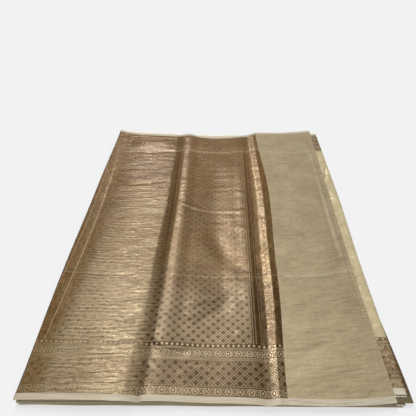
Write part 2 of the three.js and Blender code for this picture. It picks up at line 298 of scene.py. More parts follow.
class Value:
    """One value in a finish's nodes, worked on with the ordinary signs of arithmetic."""

    def __init__(self, finish, socket):
        self.finish = finish
        self.socket = socket

    def maths(self, operation, first, *others):
        inputs = dict(enumerate((first, *others)))
        return self.finish.node("Math", inputs, operation=operation)

    def __add__(self, other):
        return self.maths("ADD", self, other)

    def __radd__(self, other):
        return self.maths("ADD", other, self)

    def __sub__(self, other):
        return self.maths("SUBTRACT", self, other)

    def __rsub__(self, other):
        return self.maths("SUBTRACT", other, self)

    def __mul__(self, other):
        return self.maths("MULTIPLY", self, other)

    def __rmul__(self, other):
        return self.maths("MULTIPLY", other, self)

    def __truediv__(self, other):
        return self.maths("DIVIDE", self, other)

    def __pow__(self, other):
        return self.maths("POWER", self, other)

    def __abs__(self):
        return self.maths("ABSOLUTE", self)

    def least(self, other):
        return self.maths("MINIMUM", self, other)

    def most(self, other):
        return self.maths("MAXIMUM", self, other)

    def off_whole(self):
        """How far the value is from the nearest whole number."""
        return self.maths("PINGPONG", self, 0.5)

    def above(self, edge, soft):
        """One where the value is over the edge, nought where it is under, with a soft change."""
        inputs = {"Value": self, "From Min": edge - soft, "From Max": edge + soft}
        return self.finish.node("MapRange", inputs, interpolation_type="SMOOTHSTEP")

    def below(self, edge, soft):
        return 1 - self.above(edge, soft)

    def within(self, low, high, soft):
        return self.above(low, soft) * self.below(high, soft)


class Finish:
    """A material that is made by adding its nodes one after another."""

    def __init__(self, name):
        self.material = bpy.data.materials.new(name)
        self.material.use_nodes = True
        self.tree = self.material.node_tree
        self.tree.nodes.clear()

    def node(self, kind, inputs=(), output=0, **settings):
        made = self.tree.nodes.new("ShaderNode" + kind)
        for setting, choice in settings.items():
            setattr(made, setting, choice)
        for key, value in dict(inputs).items():
            if isinstance(value, Value):
                self.tree.links.new(value.socket, made.inputs[key])
            else:
                made.inputs[key].default_value = value
        return Value(self, made.outputs[output])

    def blend(self, share, first, second):
        """Two colours mixed. A Mix node has its colours at inputs 6 and 7 and output 2."""
        inputs = {0: share, 6: first, 7: second}
        return self.node("Mix", inputs, output=2, data_type="RGBA")

    def surface(self, **inputs):
        """Close the finish with its shader and give back the material."""
        named = {key.replace("_", " "): value for key, value in inputs.items()}
        shader = self.node("BsdfPrincipled", named)
        out = self.tree.nodes.new("ShaderNodeOutputMaterial")
        self.tree.links.new(shader.socket, out.inputs["Surface"])
        return self.material


TISSUE_SHADE = (0.228, 0.172, 0.088, 1.0)
TISSUE_LIGHT = (0.385, 0.312, 0.184, 1.0)
TISSUE_ROSE = (0.397, 0.306, 0.186, 1.0)
CREAM_COLOR = (0.53, 0.47, 0.365, 1.0)
CREAM_SHADE = (0.42, 0.36, 0.26, 1.0)
# Painted shade: the hidden under runs' cream selvedges are painted brown, as they lie in shadow.
SELVEDGE_PAINTED_SHADE_BROWN = (0.34, 0.25, 0.11, 1.0)
# Painted light: the outermost edges, which face the front, are painted a paler cream than the
# selvedge.
EDGE_PAINTED_LIGHT_CREAM = (0.80, 0.71, 0.50, 1.0)
EDGE_REACH = 4.0
EDGE_SOFT = 1.5
CREAM_SOFT = 0.6
NEAR_LIGHT = (220.0, 160.0)
ROSY_FROM = (330.0, 90.0)
THREAD_STRENGTH = 0.5
TISSUE_THREAD_DEPTH = 0.0003
UNDER_ROUGHNESS = 0.5

# Uneven threads and patches: their lengths in millimetres along and across the cloth, a seed
# and a fineness.
Threads = namedtuple("Threads", "along across seed detail", defaults=(2.0,))
TISSUE_WEFT = Threads(38.0, 1.6, 1.0, 3.0)
TISSUE_WARP = Threads(1.9, 60.0, 5.0)
TISSUE_CLOUDS = Threads(90.0, 70.0, 9.0)
TISSUE_ROSES = Threads(120.0, 90.0, 43.0)
SELVEDGE_RIBS = Threads(60.0, 1.2, 3.0)


def from_selvedge(v):
    """Distance to the nearer selvedge, in millimetres."""
    return v.least(CLOTH_WIDTH - v)


def cloth_places(finish):
    """Places on the woven cloth along its length and across its width, in millimetres."""
    cloth_map = finish.node("UVMap", uv_map="cloth")
    u = finish.node("SeparateXYZ", {0: cloth_map}, output=0) / MM
    v = finish.node("SeparateXYZ", {0: cloth_map}, output=1) / MM
    return u, v


def streaks(finish, u, v, threads):
    """Uneven threads or patches, long in u or in v as their lengths say."""
    along = u / threads.along
    across = v / threads.across
    place = finish.node("CombineXYZ", {0: along, 1: across, 2: threads.seed})
    inputs = {"Vector": place, "Scale": 1.0, "Detail": threads.detail}
    return finish.node("TexNoise", inputs)


def cream_threads(finish, u, v):
    """The finely ribbed cream selvedge's colour."""
    rib = streaks(finish, u, v, SELVEDGE_RIBS)
    return finish.blend(rib.above(0.5, 0.2), CREAM_SHADE, CREAM_COLOR)


def woven_relief(weft, warp):
    return 0.6 * weft + 0.5 * warp


def thread_bump(finish, relief, depth):
    """The small bumps of the threads, up to a depth in metres."""
    inputs = {"Height": relief, "Strength": THREAD_STRENGTH, "Distance": depth}
    return finish.node("Bump", inputs)


def tissue_color(finish, u, v):
    """Pale gold weft with slubs and thin places, warp threads, clouds and cream selvedges."""
    weft = streaks(finish, u, v, TISSUE_WEFT)
    warp = streaks(finish, u, v, TISSUE_WARP)
    cloud = streaks(finish, u, v, TISSUE_CLOUDS)
    light = 0.5 + 1.5 * (weft - 0.5) + 0.7 * (warp - 0.5) + 0.9 * (cloud - 0.5)
    light = light + 0.22 * v.below(*NEAR_LIGHT)
    rose = streaks(finish, u, v, TISSUE_ROSES).above(0.5, 0.1) * v.above(*ROSY_FROM)
    ground_light = finish.blend(rose, TISSUE_LIGHT, TISSUE_ROSE)
    ground_color = finish.blend(light, TISSUE_SHADE, ground_light)
    cream = from_selvedge(v).below(SELVEDGE, CREAM_SOFT)
    color = finish.blend(cream, ground_color, cream_threads(finish, u, v))
    return color, cream, woven_relief(weft, warp)


def under_material():
    finish = Finish("under_cloth")
    u, v = cloth_places(finish)
    color, cream, relief = tissue_color(finish, u, v)
    m = from_selvedge(v)
    # Painted shade: the cream selvedge is painted brown.
    color = finish.blend(cream * m.above(EDGE_REACH, EDGE_SOFT), color, SELVEDGE_PAINTED_SHADE_BROWN)
    # Painted light: the outermost edge is painted a paler cream.
    color = finish.blend(m.below(EDGE_REACH, EDGE_SOFT), color, EDGE_PAINTED_LIGHT_CREAM)
    return finish.surface(
        Base_Color=color,
        Roughness=UNDER_ROUGHNESS,
        Metallic=0.2 - 0.15 * cream,
        Normal=thread_bump(finish, relief, TISSUE_THREAD_DEPTH),
    )


def finish_cloth(cloth, finish, node):
    """Give a stretch of cloth its finish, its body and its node."""
    cloth.data.materials.append(finish)
    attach(cloth, "root")
    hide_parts(node)


under_layers = woven_sheets(
    "folded_under_layers_cloth",
    [under_section(*run, seed) for seed, run in enumerate(UNDER_RUNS)],
    rows=UNDER_ROWS,
    thickness=LOOSE_THICKNESS,
)
finish_cloth(under_layers, under_material(), "folded_under_layers")

# The fourth and fifth runs, one stretch of plain tissue with its zari borders. It is folded
# over at the right and turned in at the left, where it meets the runs below and above it.
FIFTH_LEVEL = SIXTH_LEVEL + RUN_PITCH
FOURTH_LEVEL = FIFTH_LEVEL + RUN_PITCH
THIRD_LEVEL = FOURTH_LEVEL + RUN_PITCH
LOWER_NOSE = (822, 809, 806, 808)
LEFT_NOSE = (5, 1, 4, 9)
SOLID_WALL = 1.5
RETURN_LENGTH = 14.0
LEFT_NOSE_CELLS = 6
LOWER_NOSE_CELLS = 8
LOWER_CELLS = 50
LOWER_ROWS = 160
LOWER_SEED = 11.0
LOOSE_RISE = 0.3
LOWER_ENDS = {
    "third": RunEnds(-6, 20, 34, 24),
    "fourth": RunEnds(-8, 9, 30, 30),
    "fifth": RunEnds(-7, 11, 33, 27),
    "sixth": RunEnds(-7, 9, 36, 33),
}


def nose(outermost, lower, upper, side, low_ends, high_ends, t, steps):
    """The half round of a fold, from its lower run to its upper one. side is -1 at the left."""
    radius = (upper - lower) / 2
    centre = outermost - side * (radius + SOLID_WALL / 2)
    points = []
    for i in range(steps + 1):
        angle = math.pi * (i / steps - 0.5)
        x = centre + side * (radius + SOLID_WALL / 4) * math.cos(angle)
        z = (lower + upper) / 2 + radius * math.sin(angle)
        low = run_point(x, z, low_ends, t)
        high = run_point(x, z, high_ends, t)
        points.append(low.lerp(high, i / steps))
    return points


def lower_section(t):
    left = at_stations(LEFT_NOSE, t)
    right = at_stations(LOWER_NOSE, t)
    inner = left + SOLID_WALL / 2 + RUN_PITCH / 2
    outer = right - SOLID_WALL / 2 - RUN_PITCH / 2
    third, fourth, fifth, sixth = LOWER_ENDS.values()
    path = [run_point(left + RETURN_LENGTH, SIXTH_LEVEL, sixth, t)]
    path += nose(left, SIXTH_LEVEL, FIFTH_LEVEL, -1, sixth, fifth, t, LEFT_NOSE_CELLS)
    path += flat_run(inner, outer, FIFTH_LEVEL, fifth, t, LOWER_CELLS)[1:-1]
    path += nose(right, FIFTH_LEVEL, FOURTH_LEVEL, 1, fifth, fourth, t, LOWER_NOSE_CELLS)
    path += flat_run(outer, inner, FOURTH_LEVEL, fourth, t, LOWER_CELLS)[1:-1]
    path += nose(left, FOURTH_LEVEL, THIRD_LEVEL, -1, fourth, third, t, LEFT_NOSE_CELLS)
    path.append(run_point(left + RETURN_LENGTH, THIRD_LEVEL, third, t))
    return spaced([uneven(point, LOWER_SEED, LOOSE_RISE) for point in path])


ZARI_DARK = (0.054, 0.026, 0.008, 1.0)
ZARI_COPPER = (0.220, 0.116, 0.040, 1.0)
ZARI_OLIVE = (0.182, 0.119, 0.042, 1.0)
ZARI_LIGHT = (0.42, 0.335, 0.205, 1.0)

# The border's woven figures, in millimetres from the selvedge, and the lattice's in shares of a
# cell. Most pairs are the two edges of a light or dark part.
BORDER = 141.0
BORDER_SOFT = 0.6
ZARI_PITCH = 23.4
LATTICE_HEIGHT = 23.0
LATTICE_STRANDS = (0.09, 0.19)
LATTICE_CROSSING = 0.23
LATTICE_SOFT = 0.02
BORDER_EYE = 0.385
EYE_SOFT = 0.04
LATTICE_BAND = (38.0, 96.0)
LATTICE_MIDDLE = 67.0
LOW_SIGNS = 25.0
HIGH_SIGNS = 115.0
SIGN_HALF = 7.4
SIGN_SQUEEZE = 0.7
SIGN_SOFT = 0.4
RING = (2.6, 4.4)
RING_OUTLINE = (4.4, 6.0)
RING_EYE = 2.2
CROSS_ARM = 1.2
CROSS_OUTLINE = (1.2, 2.8)
CROSS_REACH = 5.2
TUFT_ROW = 136.0
TUFT_SPACING = 11.7
TUFT_SQUEEZE = 0.8
TUFT_SIZE = (5.5, 3.0)
BORDER_LINES = ((36.0, 0.7), (99.0, 0.7), (16.0, 0.6), (104.0, 0.8))
FLAT_BANDS = ((97.0, 106.0, 0.6), (124.0, 131.0, 0.8))


def lattice(u, v, eye_edge):
    """Diamonds of two-stranded lines that pass over and under, with a dark eye in each."""
    rising = u / ZARI_PITCH + v / LATTICE_HEIGHT
    falling = u / ZARI_PITCH - v / LATTICE_HEIGHT
    from_rising = 0.5 - rising.off_whole()
    from_falling = 0.5 - falling.off_whole()
    turn = rising.maths("FLOOR", rising) + falling.maths("FLOOR", falling)
    under = turn.maths("FLOORED_MODULO", turn, 2.0)
    rising_strands = from_rising.within(*LATTICE_STRANDS, LATTICE_SOFT)
    falling_strands = from_falling.within(*LATTICE_STRANDS, LATTICE_SOFT)
    near_rising = from_rising.below(LATTICE_CROSSING, LATTICE_SOFT)
    near_falling = from_falling.below(LATTICE_CROSSING, LATTICE_SOFT)
    rising_strands = rising_strands * (1 - near_falling * under)
    falling_strands = falling_strands * (1 - near_rising * (1 - under))
    light = rising_strands.most(falling_strands)
    eye = from_rising.least(from_falling).above(eye_edge, EYE_SOFT)
    return light, eye


def ring_and_cross_row(u, v, middle):
    """A row of dark rings and dark crosses in turn, each with a light outline."""
    off = abs(v - middle) * SIGN_SQUEEZE
    along = (u / ZARI_PITCH).off_whole() * ZARI_PITCH
    round_off = (along * along + off * off) ** 0.5
    ring = round_off.within(*RING, SIGN_SOFT)
    beyond = ZARI_PITCH / 2 - along
    from_arm = abs(beyond - off)
    arms = from_arm.below(CROSS_ARM, SIGN_SOFT) * beyond.below(CROSS_REACH, SIGN_SOFT)
    row = off.below(SIGN_HALF * SIGN_SQUEEZE, 0.3)
    outline = round_off.within(*RING_OUTLINE, SIGN_SOFT)
    outline = outline.most(from_arm.within(*CROSS_OUTLINE, SIGN_SOFT))
    outline = outline.most(round_off.below(RING_EYE, 0.5))
    dark = ring.most(arms)
    return row * (0.25 + 0.75 * outline) * (1 - dark), row * dark


def woven_lines(across, lines, soft):
    """Thin lines, each with its middle and half its width."""
    shown = 0.0
    for middle, half_width in lines:
        shown = abs(across - middle).below(half_width, soft).most(shown)
    return shown


def row_of_dots(along, across, spacing, size):
    """Dots at even spacing. The size is for the square of the distance from a dot's middle."""
    off = (along / spacing).off_whole() * spacing
    return (off ** 2 + across ** 2).below(*size)


def border_motifs(u, m):
    """The woven border that runs along both selvedges: its light and its dark threads."""
    light, eye = lattice(u, m - LATTICE_MIDDLE, BORDER_EYE)
    band = m.within(*LATTICE_BAND, 0.5)
    low_light, low_dark = ring_and_cross_row(u, m, LOW_SIGNS)
    high_light, high_dark = ring_and_cross_row(u, m, HIGH_SIGNS)
    tufts = row_of_dots(u, (m - TUFT_ROW) * TUFT_SQUEEZE, TUFT_SPACING, TUFT_SIZE)
    lines = woven_lines(m, BORDER_LINES, 0.3)
    lower_band, upper_band = (m.within(*band_edges) for band_edges in FLAT_BANDS)
    light = (band * light * 0.55).most(low_light * 0.8).most(high_light * 0.9)
    light = light.most(tufts).most(lines * 0.5).most(lower_band.most(upper_band) * 0.3)
    dark = (band * eye * 0.75).most(low_dark).most(high_dark)
    return light, dark


# Painted shade: the lower fold's colours are a darker copy of the tissue's, with its border's gold
# dimmed and its selvedge olive, as the fold lies in shadow.
FOLD_PAINTED_SHADE_DARK = (0.045, 0.031, 0.012, 1.0)
FOLD_PAINTED_SHADE_LIGHT = (0.10, 0.075, 0.036, 1.0)
FOLD_PAINTED_SHADE_SELVEDGE = (0.115, 0.092, 0.040, 1.0)
FOLD_PAINTED_SHADE_BORDER_TONE = 0.3
STRIP_THREAD_DEPTH = 0.0004
STRIP_CRUMPLE_DEPTH = 0.004
STRIP_WEFT = Threads(30.0, 1.6, 1.0, 3.0)
STRIP_CLOUDS = Threads(50.0, 30.0, 9.0)
STRIP_PAINTED_GLINTS = Threads(16.0, 9.0, 45.0)
STRIP_CRUMPLES = Threads(30.0, 14.0, 13.0, 3.0)
STRIP_TINT = (1.0, 0.92, 0.76, 1.0)
EYE_DARKNESS = 0.85
CRUMPLE_STRENGTH = 0.6
TURN_ROUND = (770.0, 880.0, 5.0)


def crumpled(finish, wrinkle, depth, bump):
    """Soft crumples, up to a depth in metres, over the small bumps of the threads."""
    inputs = {"Height": wrinkle, "Strength": CRUMPLE_STRENGTH, "Distance": depth, "Normal": bump}
    return finish.node("Bump", inputs)


def lower_material(name, shade, light, selvedge, border_tone):
    """Tissue with its zari borders, painted glints on their gold and painted light on its
    outermost edges. The tone sets how much of their gold still shows; below one it is painted
    shade, as on the lower fold.
    """
    finish = Finish(name)
    u, v = cloth_places(finish)
    m = from_selvedge(v)
    border_light, border_dark = border_motifs(u, m)
    weft = streaks(finish, u, v, STRIP_WEFT)
    warp = streaks(finish, u, v, TISSUE_WARP)
    cloud = streaks(finish, u, v, STRIP_CLOUDS)
    tone = 0.5 + 1.4 * (weft - 0.5) + 0.7 * (warp - 0.5) + 0.9 * (cloud - 0.5)
    color = finish.blend(tone, shade, light)
    brown = finish.blend(tone * border_tone, ZARI_DARK, ZARI_COPPER)
    brown = finish.blend(border_light * border_tone, brown, ZARI_LIGHT)
    brown = finish.blend(border_dark * EYE_DARKNESS, brown, ZARI_DARK)
    # Painted glints: patches of the border's gold painted pale, as its glitter catches the light.
    painted_glint = streaks(finish, u, v, STRIP_PAINTED_GLINTS).above(0.53, 0.05) * border_tone
    brown = finish.blend(painted_glint * 0.45, brown, ZARI_LIGHT)
    color = finish.blend(m.below(BORDER, BORDER_SOFT), color, brown)
    cream = m.below(SELVEDGE, CREAM_SOFT)
    color = finish.blend(cream, color, selvedge)
    # Painted light: the outermost edges are painted a paler cream, except on the turn.
    off_the_turn = 1 - u.within(*TURN_ROUND)
    color = finish.blend(m.below(EDGE_REACH, EDGE_SOFT) * off_the_turn, color, EDGE_PAINTED_LIGHT_CREAM)
    bump = thread_bump(finish, woven_relief(weft, warp), STRIP_THREAD_DEPTH)
    wrinkle = streaks(finish, u, v, STRIP_CRUMPLES)
    return finish.surface(
        Base_Color=color,
        Roughness=0.38 + 0.12 * cream,
        Metallic=0.28 - 0.2 * cream,
        Specular_Tint=STRIP_TINT,
        Normal=crumpled(finish, wrinkle, STRIP_CRUMPLE_DEPTH, bump),
    )


lower_fold = woven_sheets("lower_fold_cloth", [lower_section], LOWER_ROWS, LOOSE_THICKNESS)
# The lower fold takes the painted-shade copy of the tissue.
fold_painted_shade_tones = (FOLD_PAINTED_SHADE_DARK, FOLD_PAINTED_SHADE_LIGHT, FOLD_PAINTED_SHADE_SELVEDGE, FOLD_PAINTED_SHADE_BORDER_TONE)
fold_painted_shade_finish = lower_material("fold_in_shade", *fold_painted_shade_tones)
finish_cloth(lower_fold, fold_painted_shade_finish, "lower_fold")

# The second and third runs, the next stretch of the same tissue. It turns over at the right,
# where a pale strip of it shows past the top run, and at the left it meets the pallu's fold.
SECOND_LEVEL = THIRD_LEVEL + RUN_PITCH
TOP_LEVEL = SECOND_LEVEL + RUN_PITCH
SECOND_NOSE = (812, 811, 818, 817)
SECOND_NOSE_LIFT = (1.2, 0.9, 1.2, 0.8)
SECOND_NOSE_CELLS = 10
SECOND_ENDS = RunEnds(-4, 24, 32, 20)
SECOND_SEED = 23.0
SECOND_ROWS = 260
THIRD_CELLS = 48
STRIP_START = 760.0
STRIP_CELLS = 14
STRIP_LIFT_CELLS = 8
HIDDEN_CELLS = 60

# The top run sags over this last stretch of it, and pressed lines are this much steeper than
# straight ones between their neighbours.
DROOP_REACH = 26.0
SHARP_SLOPE = 1.4

# Soft waves across the width, which fade out to both sides of x. Start is in turns, and lean
# is how far a wave turns by its side.
Wave = namedtuple("Wave", "x reach spacing rise start lean")
CROSS_WAVES = (
    Wave(120, 125, 148, 0.8, 0.15, 0.3),
    Wave(150, 110, 395, 1.0, 0.6, -0.1),
    Wave(395, 115, 230, 0.7, 0.35, 0.5),
    Wave(680, 90, 310, 0.4, 0.1, -0.4),
)


def cross_wave(x, y):
    rise = 0.0
    for wave in CROSS_WAVES:
        off = clamped((x - wave.x) / wave.reach, -1.0, 1.0)
        turns = y / wave.spacing + wave.start + wave.lean * off
        rise += wave.rise * math.cos(off * math.pi / 2) ** 2 * (1 + math.sin(math.tau * turns))
    return rise / 2


def lift_and_slope(index, t):
    """A line's lift, and its slopes towards the lines at its left and its right."""
    line = TOP_LINES[index]
    x = at_stations(line.x, t)
    lift = at_stations(line.lift, t)
    slopes = []
    for other in (index - 1, index + 1):
        if 0 <= other < len(TOP_LINES):
            beside = TOP_LINES[other]
            rise = at_stations(beside.lift, t) - lift
            slopes.append(rise / (at_stations(beside.x, t) - x))
        else:
            slopes.append(None)
    left, right = slopes
    if line.sharp:
        return lift, SHARP_SLOPE * left, SHARP_SLOPE * right
    if left is None:
        return lift, right, right
    if right is None:
        return lift, left, left
    if left * right <= 0:
        return lift, 0.0, 0.0
    level = 2 * left * right / (left + right)
    return lift, level, level


def top_point(index, share, t):
    """A point of the top run's middle, a share of the way from one line to the next."""
    start = TOP_LINES[index]
    end = TOP_LINES[min(index + 1, len(TOP_LINES) - 1)]
    start_x = at_stations(start.x, t)
    reach = at_stations(end.x, t) - start_x
    x = start_x + reach * share
    far = mix(start.ends[1], end.ends[1], share)
    y = mix(mix(start.ends[0], end.ends[0], share), far, t)
    lift, _, leaving = lift_and_slope(index, t)
    next_lift, arriving, _ = lift_and_slope(min(index + 1, len(TOP_LINES) - 1), t)
    ease = smooth(share)
    curve = mix(lift, next_lift, ease)
    curve += share * (1 - share) ** 2 * leaving * reach
    curve -= share ** 2 * (1 - share) * arriving * reach
    droop = mix(start.droop, end.droop, ease) * smooth(y, far - DROOP_REACH, far)
    return Vector((x, y, TOP_LEVEL + curve - droop + cross_wave(x, y)))


# A trough or, with depth above nought, a ridge along a path. It fades out past the ends of each
# stretch of the path, and sheen is how pale its pressed line is painted, a painted sheen where the
# light catches it.
Crease = namedtuple("Crease", "depth width path sheen", defaults=(0.0,))
CREASE_SPREAD = 3
CREASE_FADE = 0.2


def crease_lift(creases, x, y):
    """Depth of the soft troughs, height of the ridges and sheen of the pressed lines here."""
    lift = 0.0
    sheen = 0.0
    for crease in creases:
        reach = CREASE_SPREAD * crease.width
        for (x0, y0), (x1, y1) in zip(crease.path, crease.path[1:]):
            if not min(x0, x1) - reach < x < max(x0, x1) + reach:
                continue
            if not min(y0, y1) - reach < y < max(y0, y1) + reach:
                continue
            along = Vector((x1 - x0, y1 - y0))
            to_place = Vector((x - x0, y - y0))
            share = to_place.dot(along) / along.length_squared
            if -CREASE_FADE < share < 1 + CREASE_FADE:
                off = (to_place - along * share).length / crease.width
                fade = math.sin(math.pi * (share + CREASE_FADE) / (1 + 2 * CREASE_FADE))
                lift += crease.depth * math.exp(-off * off) * fade
                sheen += crease.sheen * math.exp(-off * off) * fade
    return lift, sheen


def left_fold_middle(t):
    """Middle of the left fold's half round, on the lines of the panel and the second run."""
    shoulder = top_point(0, 0.0, t)
    radius = (shoulder.z - SECOND_LEVEL) / 2
    x = shoulder.x + radius + SOLID_WALL / 2
    return Vector((x, shoulder.y, SECOND_LEVEL + radius)), radius


STRIP_CREASES = (
    Crease(-1.7, 5, ((781, 760), (795, 790), (806, 850))),
    Crease(0.8, 5, ((781, 775), (792, 806), (802, 862))),
    Crease(-1.3, 4, ((779, 590), (788, 604), (806, 612))),
    Crease(-1.0, 5, ((784, 660), (792, 690), (790, 720))),
    Crease(-0.9, 5, ((786, 900), (797, 925), (806, 930))),
    Crease(0.7, 8, ((786, 880), (800, 885), (808, 890))),
)

# Where the second run's pale far selvedge shows behind the top run's: how far it comes out,
# the places where it starts to and has, and those where it starts to go back and has.
PALE_EDGES = (
    (50.0, (30.0, 100.0), (240.0, 300.0)),
    (40.0, (300.0, 350.0), (480.0, 540.0)),
)


def pale_edge(x):
    return sum(reach * smooth(x, *out) * (1 - smooth(x, *back)) for reach, out, back in PALE_EDGES)


def second_section(t):
    edge = at_stations(SECOND_NOSE, t)
    lift = at_stations(SECOND_NOSE_LIFT, t)
    upper = SECOND_LEVEL + lift
    inner = edge - (upper - THIRD_LEVEL) / 2 - SOLID_WALL / 2
    third_start = at_stations(LEFT_NOSE, t) + RETURN_LENGTH
    second_start = left_fold_middle(t)[0].x + RETURN_LENGTH
    third = LOWER_ENDS["third"]
    path = flat_run(third_start, inner, THIRD_LEVEL, third, t, THIRD_CELLS)[:-1]
    path += nose(edge, THIRD_LEVEL, upper, 1, third, SECOND_ENDS, t, SECOND_NOSE_CELLS)
    strip = flat_run(inner, STRIP_START, SECOND_LEVEL, SECOND_ENDS, t, STRIP_CELLS)[1:]
    for i, point in enumerate(strip):
        point.z += lift * (1 - smooth((i + 1) / STRIP_LIFT_CELLS))
        point.z += crease_lift(STRIP_CREASES, point.x, point.y)[0]
    path += strip
    hidden = flat_run(STRIP_START, second_start, SECOND_LEVEL, SECOND_ENDS, t, HIDDEN_CELLS)[1:]
    for point in hidden:
        point.y += pale_edge(point.x) * t
    path += hidden
    return spaced([uneven(point, SECOND_SEED, LOOSE_RISE) for point in path])


LOWER_SHADE = (0.39, 0.305, 0.165, 1.0)
LOWER_LIGHT = (0.65, 0.55, 0.345, 1.0)

second_fold = woven_sheets("second_fold_cloth", [second_section], SECOND_ROWS, LOOSE_THICKNESS)
strip_finish = lower_material("lower_tissue", LOWER_SHADE, LOWER_LIGHT, CREAM_COLOR, 1.0)
finish_cloth(second_fold, strip_finish, "second_fold")

# The pallu's outer panel: the rich end of the saree, woven in copper and gold zari with a small
# lattice. It comes up from the left fold and lies open as far as the first old fold line.
FOLD_STRAY = 28.0
STRAY_ENDS = (60.0, 1060.0)
STRAY_REACH = 250.0
STRAY_LEAN = 1.3
TOP_ROWS = 320
LEFT_ROLL_CELLS = 10
RIPPLE_SCALE = (0.012, 0.055)
RIPPLE_SEED = 3.0
OUTER_RIPPLE = 0.8


def stray(x, y):
    """How far the woven lines lie from the left fold's own line, which was not folded true."""
    share = clamped((y - STRAY_ENDS[0]) / (STRAY_ENDS[1] - STRAY_ENDS[0]))
    return FOLD_STRAY * math.sin(math.pi * share ** STRAY_LEAN) * clamped(1 - x / STRAY_REACH)


def top_section(first, last, creases, ripple, lead_in=None):
    """A stretch of the top run from one line to another, with its creases and fine ripples."""
    names = [line.name for line in TOP_LINES]
    start = names.index(first)
    stop = names.index(last)

    def section(t):
        row = list(lead_in(t)) if lead_in else []
        for index in range(start, stop + 1):
            cells = TOP_LINES[index].cells if index < stop else 1
            for k in range(cells):
                point = top_point(index, k / cells, t)
                u = point.x - stray(point.x, point.y)
                lift, sheen = crease_lift(creases, point.x, point.y)
                rippled = (point.x * RIPPLE_SCALE[0], point.y * RIPPLE_SCALE[1], RIPPLE_SEED)
                point.z += lift
                point.z += ripple * noise.noise(Vector(rippled))
                row.append((point, u, sheen))
        return row
    return section


def left_roll(t):
    """The return on the second run and the half round up to the left fold, with their u."""
    middle, radius = left_fold_middle(t)
    path = [run_point(middle.x + RETURN_LENGTH, SECOND_LEVEL, SECOND_ENDS, t)]
    for i in range(LEFT_ROLL_CELLS + 1):
        angle = math.pi * (i / LEFT_ROLL_CELLS - 0.5)
        low = run_point(middle.x, middle.z, SECOND_ENDS, t)
        y = mix(low.y, middle.y, i / LEFT_ROLL_CELLS)
        height = middle.z + radius * math.sin(angle)
        path.append(Vector((middle.x - radius * math.cos(angle), y, height)))
    row = spaced(path)
    whole = row[-1][1]
    return [(point, u - whole - stray(0.0, point.y)) for point, u in row[:-1]]


OUTER_CREASES = (
    Crease(-1.7, 6, ((50, 750), (110, 729), (170, 734), (250, 757))),
    Crease(0.7, 12, ((52, 775), (110, 756), (170, 760), (255, 782))),
    Crease(0.6, 5, ((30, 340), (130, 335), (262, 337))),
    Crease(-0.8, 7, ((10, 328), (130, 323), (262, 325))),
    Crease(0.5, 5, ((238, 652), (274, 620))),
    Crease(-0.5, 9, ((44, 60), (42, 420), (46, 900))),
    Crease(-0.8, 7, ((70, 92), (130, 80), (235, 88))),
    Crease(0.8, 9, ((40, 60), (110, 54), (200, 64))),
    Crease(-0.9, 7, ((205, 520), (235, 545), (262, 560))),
    Crease(0.8, 8, ((150, 560), (200, 545), (240, 560))),
    Crease(-0.7, 6, ((15, 820), (60, 760), (110, 735))),
    Crease(-0.9, 6, ((205, 182), (250, 200))),
    Crease(0.8, 7, ((198, 292), (252, 312))),
    Crease(-0.9, 6, ((205, 425), (256, 442))),
    Crease(0.8, 6, ((215, 470), (258, 480))),
    Crease(-0.8, 7, ((210, 655), (262, 640))),
    Crease(0.7, 7, ((212, 822), (264, 838))),
    Crease(2.6, 36, ((90, 998), (170, 990), (245, 1000))),
    Crease(-0.9, 8, ((60, 945), (160, 934), (255, 946))),
)

# The woven plan of the pallu, in millimetres from the left fold: the lattice field, the lines
# and dotted rows beside it, and the dark line before its end.
FIELD = (37.0, 500.0)
FIELD_SOFT = 0.6
FIELD_EYE = 0.394
WIDE_EYE = 0.35
SIDE_LINES = ((16.5, 0.9), (-12.0, 0.7))
END_LINES = ((503.0, 0.7), (521.0, 0.6))
FAINT_DOTS = 36.0
FAINT_DOT_SIZE = (2.0, 1.0)
END_DOTS = 509.0
END_DOT_SIZE = (2.6, 1.4)
DOT_SPACING = 5.8
DARK_LINE = (511.0, 519.0, 1.0)
TUFTS_FROM = (125.0, 1.0)
UPPER_BAND = (96.0, 131.0, 1.0)

# Its parts that look different, each with its edge or edges and a soft width: along the length
# first, then across the width. The left part carries painted glare and has its figures painted
# faint where glare washes them out, the valley of the first fold line and a level far stretch
# carry painted shade, and the end ridge a painted highlight.
PAINTED_GLARE_PART = (50.0, 256.0, 20.0)
PAINTED_GLARE_FROM_SELVEDGE = (12.0, 4.0)
SIDE_PART = (36.0, 1.0)
END_PART = (507.0, 1.0)
GLARE_WASHOUT_PART = (246.0, 20.0)
PAINTED_SHADE_VALLEY = (246.0, 276.0, 7.0)
DEEP_PART = (262.0, 6.0)
# Painted highlight: the end ridge is painted paler where the light catches it.
END_RIDGE_PAINTED_HIGHLIGHT = (536.0, 562.0, 4.0)
NEAR_PART = (330.0, 120.0)
GLARE_WASHOUT_NEAR = (380.0, 80.0)
NEAR_GLARE = (420.0, 150.0)
RIDGES_FADE = (620.0, 120.0)
MIDDLE_GLARE = (680.0, 120.0)
BORDER_FADE = (700.0, 100.0)
FAR_PART = (720.0, 120.0)
RUDDY_PART = (740.0, 80.0)
# Painted shade: a level far stretch of the left part is painted darker.
PAINTED_SHADE_FAR_STRETCH = (800.0, 930.0, 30.0)

